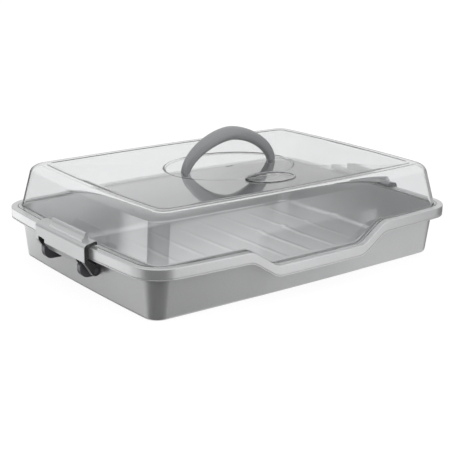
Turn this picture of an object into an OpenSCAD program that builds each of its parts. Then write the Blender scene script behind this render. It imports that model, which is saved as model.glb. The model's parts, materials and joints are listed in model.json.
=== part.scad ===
// Cake carrier: a shallow tray with a rolled rim, a clear lid with a carrying handle,
// and a clip latch at each end that swings outwards to free the lid.
// X runs along the tray, Y from the front to the back and Z up from the table.

/* [Rim] */
// Length over the rim, end to end
rim_length = 450; // [430:1:480]
// Width over the rim, front to back
rim_width = 328.5; // [310:0.5:350]
// How far the end rims bow out at their middle
rim_bow_end = 4.3; // [0:0.1:8]
// How far the front and back rims bow out at their middle
rim_bow_side = 7.3; // [0:0.1:10]
// Corner radius of the rim
rim_corner_r = 36.5; // [30:0.5:44]
// Height of the rim's top face above the table
rim_height = 61.3; // [56:0.1:75]
// Height of the down-turned skirt, bead included
skirt_height = 12.7; // [10:0.1:16]
// Thickness of the down-turned skirt
skirt_wall = 2.2; // [1.6:0.1:3]
// Width of the raised border round the lid's seat
border_width = 7.4; // [6:0.1:8.4]
// Depth of the lid's seat below the border
seat_depth = 2; // [1.4:0.1:3]
// Height of the bead along the skirt's lower edge
bead_height = 1.4; // [0.8:0.1:2.4]
// Depth of the groove above the bead
groove_depth = 0.8; // [0.3:0.1:1.2]
// Height of the groove above the bead
groove_height = 1; // [0.6:0.1:2]

/* [Front grip dip] */
// Length of the dip where it leaves the rim
dip_length = 188; // [160:1:220]
// Length of the dip along its bottom
dip_floor = 124; // [90:1:140]
// How far the rim drops in the dip
dip_depth = 21; // [8:0.5:24]
// Half the length of the bend at each corner of the dip
dip_bend = 6; // [2:0.5:8]

/* [Tray] */
// How far the base stands in from the rim's edge at the ends
base_inset_end = 19.6; // [17:0.1:28]
// How far the base stands in from the rim's edge at the front and back
base_inset_side = 24.55; // [20:0.05:32]
// How far the sides of the base bow out
base_bow = 2.4; // [0:0.1:4]
// Corner radius of the base
base_corner_r = 16.5; // [12:0.5:26]
// Radius where the walls meet the underside
base_fillet = 4; // [2:0.5:6]
// Thickness of the tray's walls
tray_wall = 2.4; // [1.6:0.1:3]
// Thickness of the tray's floor
tray_floor = 3; // [2.4:0.1:4]
// Radius where the walls meet the floor, inside
floor_fillet = 6; // [3:0.5:9]
// Depth of the hollow in the underside
foot_height = 1; // [0.4:0.1:1.6]
// Width of the foot ring round that hollow
foot_width = 13; // [8:0.5:24]
// Number of ribs across the floor
floor_ribs = 9; // [3:1:11]
// Width of a floor rib
floor_rib_w = 12; // [6:0.5:16]
// Height of a floor rib
floor_rib_h = 0.9; // [0.4:0.1:1.6]

/* [Lid] */
// Height of the lid's top above the rim
lid_rise = 49.1; // [40:0.1:70]
// Thickness of the lid
lid_wall = 2; // [1.4:0.1:2.4]
// Gap all round between the lid's edge and the border
lid_gap = 0.9; // [0.4:0.1:1.5]
// Gap under the lid's flange
seat_gap = 0.3; // [0.1:0.05:0.5]
// From the rim's edge in to the lid's wall, at the ends
lid_inset_end = 15; // [14:0.1:20]
// From the rim's edge in to the lid's wall, front and back
lid_inset_side = 13.75; // [13:0.05:19]
// Lean of the end walls, in degrees
lid_draft_end = 10.5; // [4:0.1:16]
// Lean of the front and back walls, in degrees
lid_draft_side = 12; // [4:0.1:16]
// Radius of the lid's upright corners
lid_corner_r = 17.5; // [13:0.5:30]
// How far the lid's sides bow out
lid_bow = 4.6; // [0:0.1:7]
// Radius over the lid's top edge
lid_top_r = 12; // [6:0.5:16]
// Width of the raised border round the lid's top
top_border = 6.5; // [3:0.5:12]
// Depth of the top panel below its border
top_step = 0.8; // [0.4:0.1:1.2]
// How far the top panel sags from its edge to the recess
panel_sag = 2.2; // [0:0.1:3]

/* [Lid recess and badge] */
// Length of the oval recess round the handle
oval_length = 164; // [156:1:190]
// Width of the oval recess round the handle
oval_width = 131; // [90:1:140]
// Depth of the oval recess
oval_depth = 1.2; // [0.6:0.1:1.6]
// How far the recess and the handle stand behind the lid's middle
recess_offset = 2.6; // [0:0.1:4]
// Length of the blank badge
badge_length = 64; // [40:1:80]
// Width of the blank badge
badge_width = 46; // [30:1:52]
// Distance of the badge in front of the handle
badge_offset = 75.5; // [72:0.5:82]
// Height of the badge's ring above the panel's middle
badge_height = 1.8; // [1.4:0.1:4]
// Depth of the dish in the badge
badge_dish = 1; // [0.4:0.1:1.2]
// Width of the badge's raised ring
badge_ring = 2.6; // [1.6:0.1:5]

/* [Handle] */
// Distance between the middles of the handle's feet
handle_span = 127; // [110:1:140]
// Height of the handle's crown above the lid's recess
handle_rise = 47.5; // [38:0.1:60]
// Thickness of the handle at its crown
crown_thick = 16; // [10:0.1:17]
// Width of the handle at its crown, front to back
crown_width = 18; // [12:0.5:26]
// Thickness of a leg at its foot
foot_thick = 8.8; // [7:0.1:12]
// Width of a leg at its foot, front to back
leg_width = 8; // [6:0.1:14]
// Fullness of the arch, where 2 is an ellipse
arch_power = 1.68; // [1.5:0.02:2.4]
// Length of the snap tongue through the lid
tongue_length = 5.6; // [4:0.1:7]
// Width of the snap tongue, front to back
tongue_width = 5.2; // [3:0.1:6]
// Clearance of the tongue in its slot
tongue_gap = 0.15; // [0.05:0.05:0.3]

/* [Latches] */
// Length of a latch along the tray's end
latch_length = 105; // [90:1:130]
// Thickness of the latch's plate
latch_plate = 2.8; // [2:0.1:3.2]
// Gap between the rim's skirt and the latch's end webs
latch_gap = 0.8; // [0.5:0.1:1.4]
// Depth of the end webs, plate included
web_depth = 4.4; // [3.4:0.1:5]
// Thickness of the end legs, along the tray's end
leg_thick = 6; // [4:0.5:9]
// Height of the hinge axis above the table
hinge_height = 34.5; // [32:0.1:36]
// Distance of the hinge axis in from the rim's edge
hinge_inset = 8.4; // [7.6:0.1:9]
// Radius of the legs' round ends
leg_end_r = 5.6; // [4.8:0.1:5.8]
// How far the hook reaches over the lid's flange
hook_overlap = 2.2; // [1:0.1:2.6]
// Gap between the hook and the lid's flange
hook_gap = 1.2; // [1:0.05:1.6]
// Thickness of the hook
hook_thick = 3.4; // [2.4:0.1:4]
// Length of the finger rib
finger_rib_length = 70; // [50:1:80]
// How far the finger rib's middle stands in front of the latch's middle
finger_rib_offset = 7.5; // [0:0.5:10]
// Height of the finger rib above the hook
finger_rib_height = 8.6; // [4:0.1:11]
// Thickness of the finger rib at its tip
finger_rib_thick = 2.8; // [2:0.1:4]

/* [Latch hinges] */
// Radius of the moulded hinge stubs
stub_r = 2.5; // [1.8:0.1:3]
// Running clearance of the stubs in the legs
stub_gap = 0.05; // [0.02:0.01:0.1]
// Thickness of the lugs that carry the stubs
lug_thick = 7; // [4:0.5:9]
// Gap between a lug and the leg beside it
lug_gap = 4.5; // [0.5:0.1:6]
// Reach of the lugs beyond the hinge axis
lug_reach = 12.7; // [8:0.1:12.8]

/* [Hidden] */
$fn = 48;

// An outline is [half length, half width, end bow, side bow, corner radius].
rim = [rim_length / 2, rim_width / 2, rim_bow_end, rim_bow_side, rim_corner_r];
base = [rim[0] - base_inset_end, rim[1] - base_inset_side, base_bow, base_bow, base_corner_r];

// Section of the rim: sheet under the seat, round on the outer edge, and the seat itself
rim_sheet = 2.2;
edge_round = 1.2;
seat_width = 6.8;
seat_chamfer = 0.8;
skirt_chamfer = 0.3;
groove_slope = 0.2;

// Heights of the rim and the lid's seat
skirt_bottom = rim_height - skirt_height;
seat_height = rim_height - seat_depth;
rim_underside = seat_height - rim_sheet;
wall_top_inset = border_width + seat_width;

// Heights of the lid
flange_thick = lid_wall - 0.2;
flange_chamfer = 0.5;
flange_bottom = seat_height + seat_gap;
flange_top = flange_bottom + flange_thick;
lid_top = rim_height + lid_rise;
panel_top = lid_top - top_step;
panel_low = panel_top - panel_sag;
recess_top = panel_low - oval_depth;

// Height over which the dip dies out in the lid's wall
dip_fade = 14;
// Share of an inward step that comes off the corner radius of the lid
corner_share = 0.45;
// Run of the slope from the lid's border down to its panel
step_run = 0.8;
// Width of the level panel beyond the ends of the recess
flat_rim = 8;
// Depth by which pieces of one moulding run into each other
bite = 0.4;

// The latch hinge, measured at the right-hand end
hinge_x = rim_length / 2 - hinge_inset;
plate_out = rim_length / 2 + latch_gap + web_depth;
plate_in = plate_out - latch_plate;
web_in = plate_out - web_depth;
hook_tip_x = rim_length / 2 - border_width - lid_gap - hook_overlap;
hook_under = flange_top + hook_gap;
hook_top = hook_under + hook_thick;
leg_inner_y = latch_length / 2 - leg_thick;
lug_outer_y = leg_inner_y - lug_gap;
lug_inner_y = lug_outer_y - lug_thick;
knee_height = hinge_height + 11;
notch_height = knee_height + 4.5;

// ---------------------------------------------------------------- outlines

function inset(o, x, y) = [o[0] - x, o[1] - y, o[2], o[3], max(1, o[4] - (x + y) / 2)];

function mix(a, b, t) = a * (1 - t) + b * t;

// A bowed side as [distance along the side, distance outwards] at s
function side_point(half, bow, r, reach, s) =
    let (t = s / reach, slope = 2 * bow * t / reach, n = sqrt(1 + slope * slope))
    [s + r * slope / n, half - r - bow * t * t + r / n];

// Interior points of the corner arc from the end of one side to the start of the next
function corner_points(cx, cy, r, from, to) =
    let (steps = 6)
    [for (k = [1 : steps - 1]) let (a = from + (to - from) * k / steps) [cx + r * cos(a), cy + r * sin(a)]];

// Soft corner between level and falling: 0 before the bend and d after it
function bend(d) = d <= -dip_bend ? 0 : d >= dip_bend ? d : pow(d + dip_bend, 2) / (4 * dip_bend);

// Drop of the front rim at x
function dip(x) =
    dip_depth / (dip_length - dip_floor) * 2
    * (bend(dip_length / 2 - abs(x)) - bend(dip_floor / 2 - abs(x)));

// Places along the front side, close together round the four bends of the dip
dip_places = [
    for (corner = [dip_length / 2, dip_floor / 2]) for (k = [1, 1 / 3, -1 / 3, -1]) corner + k * dip_bend,
    dip_floor / 4,
    0
];

function front_places(reach) =
    let (half = concat([reach, (reach + dip_places[0]) / 2], dip_places), n = len(half))
    concat([for (k = [0 : n - 1]) -half[k]], [for (k = [n - 2 : -1 : 0]) half[k]]);

// One level of a shell: an outline at height z, which follows the dip by the share w
function level(o, z, w = 0) =
    let (
        cx = o[0] - o[2] - o[4],
        cy = o[1] - o[3] - o[4],
        r = o[4],
        lean_x = atan(2 * o[3] / cx),
        lean_y = atan(2 * o[2] / cy)
    )
    concat(
        [for (s = front_places(cx)) let (p = side_point(o[1], o[3], r, cx, s)) [p[0], -p[1], z - w * dip(s)]],
        [for (p = corner_points(cx, -cy, r, -90 + lean_x, -lean_y)) [p[0], p[1], z]],
        [for (k = [-3 : 3]) let (p = side_point(o[0], o[2], r, cy, k * cy / 3)) [p[1], p[0], z]],
        [for (p = corner_points(cx, cy, r, lean_y, 90 - lean_x)) [p[0], p[1], z]],
        [for (k = [5 : -1 : -5]) let (p = side_point(o[1], o[3], r, cx, k * cx / 5)) [p[0], p[1], z]],
        [for (p = corner_points(-cx, cy, r, 90 + lean_x, 180 - lean_y)) [p[0], p[1], z]],
        [for (k = [3 : -1 : -3]) let (p = side_point(o[0], o[2], r, cy, k * cy / 3)) [-p[1], p[0], z]],
        [for (p = corner_points(-cx, -cy, r, 180 + lean_y, 270 - lean_x)) [p[0], p[1], z]]
    );

// Closed solid through a stack of levels, or of any rings with the same number of points
module loft(rings) {
    n = len(rings[0]);
    last = len(rings) - 1;
    polyhedron(
        points = [for (ring = rings) each ring],
        faces = concat(
            [[for (k = [0 : n - 1]) k]],
            [for (i = [0 : last - 1]) for (k = [0 : n - 1]) [i * n + k, (i + 1) * n + k, i * n + (k + 1) % n]],
            [for (i = [0 : last - 1]) for (k = [0 : n - 1])
                [i * n + (k + 1) % n, (i + 1) * n + k, (i + 1) * n + (k + 1) % n]],
            [[for (k = [n - 1 : -1 : 0]) last * n + k]]
        )
    );
}

module oval(length, width, height) {
    linear_extrude(height)
        polygon([for (k = [0 : 71]) [length / 2 * cos(k * 5), width / 2 * sin(k * 5)]]);
}

// A rounded rectangle of the given size, centred
module rounded_plate(length, width, r, height) {
    linear_extrude(height)
        polygon([
            for (q = [[1, -1, 270], [1, 1, 0], [-1, 1, 90], [-1, -1, 180]]) for (k = [0 : 5])
                [q[0] * (length / 2 - r) + r * cos(q[2] + k * 18), q[1] * (width / 2 - r) + r * sin(q[2] + k * 18)]
        ]);
}

// Draws its children at the right-hand end and, mirrored, at the left-hand end
module both_ends() {
    children();
    mirror([1, 0, 0]) children();
}

// A profile in X and Z, from y0 to y1
module along_end(y0, y1) {
    translate([0, y1, 0]) rotate([90, 0, 0]) linear_extrude(y1 - y0) children();
}

// Points of an arc in the X-Z plane
function arc(cx, cz, r, from, to, steps = 5) =
    [for (k = [0 : steps]) let (a = mix(from, to, k / steps)) [cx + r * cos(a), cz + r * sin(a)]];

// ---------------------------------------------------------------- tray

// Levels of the tray, up its outside, over the rim and down its inside
function tray_levels() =
    let (
        outer_top = inset(rim, wall_top_inset - tray_wall, wall_top_inset - tray_wall),
        inner_top = inset(rim, wall_top_inset, wall_top_inset),
        inner_base = inset(base, tray_wall, tray_wall),
        skirt_in = inset(rim, skirt_wall, skirt_wall),
        groove = inset(rim, groove_depth, groove_depth),
        groove_bottom = skirt_bottom + bead_height,
        border_in = inset(rim, border_width, border_width),
        seat_in = inset(rim, wall_top_inset - seat_chamfer, wall_top_inset - seat_chamfer)
    )
    concat(
        [for (a = [0, 30, 60, 90])
            level(inset(base, base_fillet * (1 - sin(a)), base_fillet * (1 - sin(a))), base_fillet * (1 - cos(a)))],
        [
            level(outer_top, rim_underside, 1),
            level(skirt_in, rim_underside, 1),
            level(skirt_in, skirt_bottom, 1),
            level(inset(rim, skirt_chamfer, skirt_chamfer), skirt_bottom, 1),
            level(rim, skirt_bottom + skirt_chamfer, 1),
            level(rim, groove_bottom, 1),
            level(groove, groove_bottom + groove_slope, 1),
            level(groove, groove_bottom + groove_height - groove_slope, 1),
            level(rim, groove_bottom + groove_height, 1),
            level(rim, rim_height - edge_round, 1),
            level(inset(rim, edge_round * 0.3, edge_round * 0.3), rim_height - edge_round * 0.3, 1),
            level(inset(rim, edge_round, edge_round), rim_height, 1),
            level(border_in, rim_height, 1),
            level(border_in, seat_height, 1),
            level(seat_in, seat_height, 1),
            level(inner_top, seat_height - seat_chamfer, 1)
        ],
        [for (a = [0, 30, 60, 90])
            level(
                inset(inner_base, floor_fillet * (1 - cos(a)), floor_fillet * (1 - cos(a))),
                tray_floor + floor_fillet * (1 - sin(a))
            )]
    );

// Side view of a hinge lug: a rounded nose round the hinge axis, rooted in the wall and rim
module lug_profile() {
    nose_r = lug_reach * 0.75;
    nose_x = hinge_x + lug_reach - nose_r;
    root_x = base[0] - 1;
    polygon(concat(
        [[root_x, hinge_height - 9.4]],
        arc(nose_x, hinge_height + 0.4, nose_r, -90, 0, 6),
        [
            [hinge_x + lug_reach, hinge_height + 5.4],
            [hinge_x + lug_reach * 0.45, hinge_height + 9.8],
            [hinge_x + 4.6, rim_underside + 1],
            [root_x + 2, rim_underside + 1]
        ]
    ));
}

module hinge_lug() {
    stub_end = 0.5;
    along_end(lug_inner_y, lug_outer_y) lug_profile();
    translate([hinge_x, lug_outer_y - 1, hinge_height])
        rotate([-90, 0, 0]) cylinder(h = lug_gap + leg_thick + stub_end, r = stub_r);
}

// Inside walls of the tray, as the solid that the lugs must not reach into
module tray_inside() {
    inner_top = inset(rim, wall_top_inset - bite, wall_top_inset - bite);
    inner_base = inset(base, tray_wall - bite, tray_wall - bite);
    loft([level(inner_base, 0), level(inner_top, seat_height)]);
}

module floor_rib_set() {
    pitch = 2 * (base[0] - tray_wall - floor_fillet) / (floor_ribs + 1);
    end_space = 11;
    rib_length = 2 * (base[1] - tray_wall - floor_fillet - end_space);
    for (k = [1 : floor_ribs])
        translate([(k - (floor_ribs + 1) / 2) * pitch, 0, tray_floor - bite])
            rounded_plate(floor_rib_w, rib_length, floor_rib_w * 0.49, floor_rib_h + bite);
}

module base_tray() {
    color([0.70, 0.71, 0.72])
        difference() {
            union() {
                loft(tray_levels());
                floor_rib_set();
                difference() {
                    both_ends() for (side = [0, 1]) mirror([0, side, 0]) hinge_lug();
                    tray_inside();
                }
            }
            translate([0, 0, -1])
                rounded_plate(
                    2 * (base[0] - base_fillet - foot_width),
                    2 * (base[1] - base_fillet - foot_width),
                    base_corner_r,
                    foot_height + 1
                );
        }
}

// ---------------------------------------------------------------- lid

lid_foot = [
    rim[0] - lid_inset_end,
    rim[1] - lid_inset_side,
    lid_bow,
    lid_bow,
    lid_corner_r
];

// Outline of the lid's wall at height z, moved inwards by t
function lid_wall_outline(z, t) =
    let (rise = z - flange_top)
    inset(lid_foot, rise * tan(lid_draft_end), rise * tan(lid_draft_side))
    - [t, t, 0, 0, t * 0.5 - rise * (tan(lid_draft_end) + tan(lid_draft_side)) / 2];

// Rings of the rounded edge, from the wall up to the level top, for a skin moved in by t
function lid_edge_levels(t) =
    let (
        r = lid_top_r - t,
        lean = (lid_draft_end + lid_draft_side) / 2,
        wall_z = lid_top - t - r * (1 - sin(lean)),
        o = lid_wall_outline(wall_z, t)
    )
    [for (a = [lean, 30, 50, 70, 90])
        let (in = r * (cos(lean) - cos(a)))
        level(o - [in, in, 0, 0, in * corner_share], wall_z + r * (sin(a) - sin(lean)))];

function lid_border_outline(t, x) =
    let (
        r = lid_top_r - t,
        lean = (lid_draft_end + lid_draft_side) / 2,
        in = r * cos(lean),
        o = lid_wall_outline(lid_top - t - r * (1 - sin(lean)), t)
    )
    o - [in + x, in + x, 0, 0, in * corner_share + x * corner_share / 2];

function reversed(list) = [for (k = [len(list) - 1 : -1 : 0]) list[k]];

// Levels of the top panel, which sags from its edge to the flat middle round the recess
function panel_levels(t) =
    let (
        edge = lid_border_outline(t, top_border + step_run),
        middle_x = (oval_length / 2 + flat_rim) / edge[0],
        middle_y = (oval_width / 2 + recess_offset + flat_rim / 2) / edge[1],
        steps = 3
    )
    [for (k = [0 : steps])
        let (in = k / steps, drop = in * (1.27 - 0.27 * in))
        [for (p = level(edge, panel_top - t - panel_sag * drop))
            [p[0] * mix(1, middle_x, in), p[1] * mix(1, middle_y, in), p[2]]]];

module lid_skin() {
    flange = inset(rim, border_width + lid_gap, border_width + lid_gap);
    shoulder = flange_top + dip_fade;
    loft(concat(
        reversed(panel_levels(lid_wall)),
        [level(lid_border_outline(lid_wall, top_border - step_run), lid_top - lid_wall)],
        reversed(lid_edge_levels(lid_wall)),
        [
            level(lid_wall_outline(shoulder, lid_wall), shoulder),
            level(lid_wall_outline(flange_bottom, lid_wall), flange_bottom, 1),
            level(flange, flange_bottom, 1),
            level(flange, flange_top - flange_chamfer, 1),
            level(inset(flange, flange_chamfer, flange_chamfer), flange_top, 1),
            level(lid_foot, flange_top, 1),
            level(lid_wall_outline(shoulder, 0), shoulder)
        ],
        lid_edge_levels(0),
        [level(lid_border_outline(0, top_border), lid_top)],
        panel_levels(0)
    ));
}

// The badge: a plain raised oval, which the dish leaves as a ring
module badge() {
    translate([0, recess_offset - badge_offset, recess_top - bite])
        oval(badge_length, badge_width, bite + oval_depth + badge_height);
}

module badge_hollow() {
    translate([0, recess_offset - badge_offset, panel_low + badge_height - badge_dish])
        oval(badge_length - 2 * badge_ring, badge_width - 2 * badge_ring, badge_dish + 1);
}

module lid_shell() {
    slot_x = foot_thick * 0.5 + 2 * tongue_gap;
    slot_y = tongue_width + 2 * tongue_gap;
    oval_lap = 3;
    color([0.88, 0.90, 0.91, 0.4])
        difference() {
            union() {
                difference() {
                    union() {
                        lid_skin();
                        translate([0, recess_offset, recess_top - lid_wall])
                            oval(oval_length + oval_lap, oval_width + oval_lap, lid_wall);
                    }
                    translate([0, recess_offset, recess_top]) oval(oval_length, oval_width, 5);
                }
                badge();
                translate([0, recess_offset, recess_top - bite]) rounded_plate(9, 1.6, 0.7, bite + 0.4);
            }
            badge_hollow();
            for (side = [-1, 1])
                translate([
                    side * handle_span / 2 - slot_x / 2,
                    recess_offset - slot_y / 2,
                    recess_top - lid_wall - 1
                ])
                    cube([slot_x, slot_y, lid_wall + 3]);
        }
}

// ---------------------------------------------------------------- handle

// Roundness of the handle's section, where 1 is an ellipse and less is squarer
foot_round = 0.42;
crown_round = 0.8;

// A section of the handle, where a runs from 0 at the right foot to 180 at the left foot
function handle_section(a) =
    let (
        e = 2 / arch_power,
        half = handle_span / 2,
        rise = handle_rise - crown_thick / 2,
        c = cos(a),
        s = max(sin(a), 0),
        x = half * sign(c) * pow(abs(c), e),
        z = rise * pow(s, e),
        dx = -half * e * pow(max(abs(c), 0.0001), e - 1) * s,
        dz = rise * e * pow(max(s, 0.0001), e - 1) * c,
        n = sqrt(dx * dx + dz * dz),
        across = s < 0.02 ? [sign(c), 0] : [dz / n, -dx / n],
        full = pow(s, 1.3),
        thick = mix(foot_thick, crown_thick, full) / 2,
        wide = mix(leg_width, crown_width, full) / 2,
        round = mix(foot_round, crown_round, full)
    )
    [for (k = [0 : 15])
        let (
            b = k * 22.5 + 11.25,
            u = sign(cos(b)) * pow(abs(cos(b)), round),
            v = sign(sin(b)) * pow(abs(sin(b)), round)
        )
        [x + across[0] * thick * u, wide * v, z + across[1] * thick * u]];

module carry_handle() {
    neck_x = foot_thick * 0.5;
    neck_up = 1.6;
    barb_x = neck_x + 2.2;
    barb_z = recess_top - lid_wall - 0.15;
    sole = recess_top + 0.05;
    color([0.55, 0.56, 0.57]) translate([0, recess_offset, 0]) {
        translate([0, 0, sole]) loft([for (k = [0 : 36]) handle_section(k * 5)]);
        for (side = [0, 1]) mirror([side, 0, 0]) translate([handle_span / 2, 0, 0]) {
            translate([-neck_x / 2, -tongue_width / 2, recess_top - lid_wall - tongue_length + neck_up])
                cube([neck_x, tongue_width, lid_wall + tongue_length]);
            translate([0, tongue_width / 2, barb_z]) rotate([90, 0, 0])
                linear_extrude(tongue_width)
                    polygon([
                        [-neck_x / 2, 0],
                        [barb_x - neck_x / 2, 0],
                        [neck_x / 2, neck_up - tongue_length],
                        [-neck_x / 2, neck_up - tongue_length]
                    ]);
        }
    }
}

// ---------------------------------------------------------------- latches

// Distance of the hook's underside from the hinge axis, so that it swings clear of the rim
hook_r = norm([hook_tip_x - hinge_x, hook_under - hinge_height]);
// Radius of the bend from the plate into the hook
hook_bend_r = 5;
// How far the hook's tip stands above its root
hook_tip_rise = 0.8;
// Lean of the plate's foot, as run over drop
foot_lean = 0.63;
// Height of the foot's lower edge above the hinge axis
foot_drop = 3;

// Cross-section of the hook and the upright plate, down to the notches
module hook_profile() {
    root_x = plate_in - 1.6;
    tip_a = atan2(hook_under - hinge_height, hook_tip_x - hinge_x);
    root_a = acos((root_x - hinge_x) / hook_r);
    polygon(concat(
        [[plate_out, notch_height]],
        arc(plate_out - hook_bend_r, hook_top - hook_bend_r - hook_tip_rise, hook_bend_r, 0, 76),
        [
            [hook_tip_x + 2.6, hook_top + hook_tip_rise * 1.25],
            [hook_tip_x + 0.4, hook_top + hook_tip_rise],
            [hook_tip_x - 0.4, hook_under + 1.2]
        ],
        arc(hinge_x, hinge_height, hook_r, tip_a, root_a, 6),
        [[plate_in, hook_under - 4], [plate_in, notch_height]]
    ));
}

// Cross-section of the plate's middle below the notches, which leans in at the foot
module foot_profile() {
    foot_z = hinge_height + foot_drop;
    foot_x = plate_out - (knee_height - foot_z) * foot_lean;
    polygon([
        [plate_out, notch_height + 1],
        [plate_in, notch_height + 1],
        [plate_in, knee_height - 0.6],
        [foot_x - latch_plate * 0.85, foot_z + latch_plate * 0.35],
        [foot_x, foot_z],
        [plate_out, knee_height]
    ]);
}

// Side view of an end leg: the web behind the plate, the knee and the shank down to its eye
module leg_profile() {
    shank_r = leg_end_r - 0.2;
    outer = [plate_out - hinge_x, knee_height - hinge_height];
    inner = [web_in - hinge_x, knee_height + 1 - hinge_height];
    outer_a = atan2(outer[1], outer[0]) - acos(shank_r / norm(outer));
    inner_a = atan2(inner[1], inner[0]) + acos(shank_r / norm(inner));
    polygon([
        [plate_out, notch_height + 2],
        [plate_out - bite, hook_under - 3],
        [plate_out - 1.4, hook_under + bite],
        [web_in - 1.8, hook_under + bite],
        [web_in, hook_under - 4],
        [web_in, knee_height + 1],
        [hinge_x + shank_r * cos(inner_a), hinge_height + shank_r * sin(inner_a)],
        [hinge_x + shank_r * cos(outer_a), hinge_height + shank_r * sin(outer_a)],
        [plate_out, knee_height]
    ]);
}

// The finger rib stands on the hook, with a hollow curve up its outer face
module finger_rib_profile() {
    tip_x = hook_tip_x + 5.6;
    tip_z = hook_top + finger_rib_height;
    hollow_r = 6.2;
    polygon(concat(
        [
            [plate_out - 3.2, hook_top - 3],
            [tip_x - 1.2, hook_top - 1],
            [tip_x, tip_z - 1],
            [tip_x + 0.8, tip_z],
            [tip_x + finger_rib_thick - 0.8, tip_z]
        ],
        arc(tip_x + finger_rib_thick + hollow_r, tip_z - 1, hollow_r, 180, 248, 6)
    ));
}

// The plate goes on down to the knee beside the front leg, and stops at a notch beside the back one
module front_apron() {
    translate([plate_in, knee_height]) square([latch_plate, notch_height - knee_height + 1]);
}

module latch() {
    foot_y = lug_inner_y - 1.5;
    difference() {
        union() {
            along_end(-latch_length / 2, latch_length / 2) hook_profile();
            along_end(-foot_y, foot_y) foot_profile();
            translate([0, -finger_rib_offset, 0])
                along_end(-finger_rib_length / 2, finger_rib_length / 2) finger_rib_profile();
            along_end(-leg_inner_y - bite, -foot_y) front_apron();
            for (side = [0, 1]) mirror([0, side, 0]) {
                along_end(leg_inner_y, latch_length / 2) leg_profile();
                translate([hinge_x, leg_inner_y, hinge_height])
                    rotate([-90, 0, 0]) cylinder(h = leg_thick, r = leg_end_r);
            }
        }
        for (side = [0, 1]) mirror([0, side, 0])
            translate([hinge_x, leg_inner_y - 1, hinge_height])
                rotate([-90, 0, 0]) cylinder(h = leg_thick + 2, r = stub_r + stub_gap);
    }
}

module latch_right() {
    color([0.78, 0.79, 0.80]) latch();
}

module latch_left() {
    color([0.78, 0.79, 0.80]) mirror([1, 0, 0]) latch();
}

base_tray();
lid_shell();
carry_handle();
latch_left();
latch_right();
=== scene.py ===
"""Looks of the cake carrier: tray, clear lid, carrying handle and two clip latches.

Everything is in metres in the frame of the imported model. X runs along the tray, Y from
the front to the back and Z up from the table.
"""

import json
import logging
import math
from dataclasses import astuple, dataclass, field, replace
from enum import Enum
from typing import Sequence

import bmesh
import bpy
from mathutils import Euler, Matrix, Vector

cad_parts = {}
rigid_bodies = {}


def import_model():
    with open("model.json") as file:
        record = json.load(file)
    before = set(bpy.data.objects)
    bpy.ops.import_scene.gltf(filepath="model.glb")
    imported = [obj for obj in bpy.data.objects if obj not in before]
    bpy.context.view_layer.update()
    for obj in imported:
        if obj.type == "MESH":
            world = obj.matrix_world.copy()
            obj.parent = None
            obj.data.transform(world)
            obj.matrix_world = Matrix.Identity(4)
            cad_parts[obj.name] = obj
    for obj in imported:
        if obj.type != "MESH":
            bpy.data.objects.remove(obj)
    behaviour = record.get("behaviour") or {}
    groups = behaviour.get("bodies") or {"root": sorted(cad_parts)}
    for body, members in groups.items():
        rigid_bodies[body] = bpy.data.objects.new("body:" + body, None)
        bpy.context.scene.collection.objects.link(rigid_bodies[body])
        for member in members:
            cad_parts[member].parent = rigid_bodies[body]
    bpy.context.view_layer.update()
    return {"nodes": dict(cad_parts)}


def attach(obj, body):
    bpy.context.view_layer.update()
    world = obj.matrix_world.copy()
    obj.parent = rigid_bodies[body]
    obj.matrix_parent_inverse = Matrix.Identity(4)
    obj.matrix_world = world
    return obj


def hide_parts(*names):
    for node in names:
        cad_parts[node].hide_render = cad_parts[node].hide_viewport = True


log = logging.getLogger("cake_carrier")

MM = 0.001

Ring = list[Vector]
Triple = tuple[float, float, float]
Piece = bpy.types.Object
Material = bpy.types.Material
Tree = bpy.types.NodeTree
Node = bpy.types.Node
Socket = bpy.types.NodeSocket

# Steps along an outline: the dip's bends and slopes and the level stretches beside them, a corner,
# an end and the back
BEND_STEPS = 12
SLOPE_STEPS = 6
LEVEL_STEPS = 12
CORNER_STEPS = 18
END_STEPS = 24
BACK_STEPS = 40


class Body(str, Enum):
    """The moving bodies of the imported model."""

    TRAY = "tray"
    LID = "lid"
    LEFT_LATCH = "left_latch"
    RIGHT_LATCH = "right_latch"


class Slot(str, Enum):
    """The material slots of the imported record."""

    TRAY = "tray_plastic"
    LID = "clear_plastic"
    HANDLE = "handle_plastic"
    LATCH = "latch_plastic"


# ------------------------------------------------------------------ outlines and sections


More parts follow.
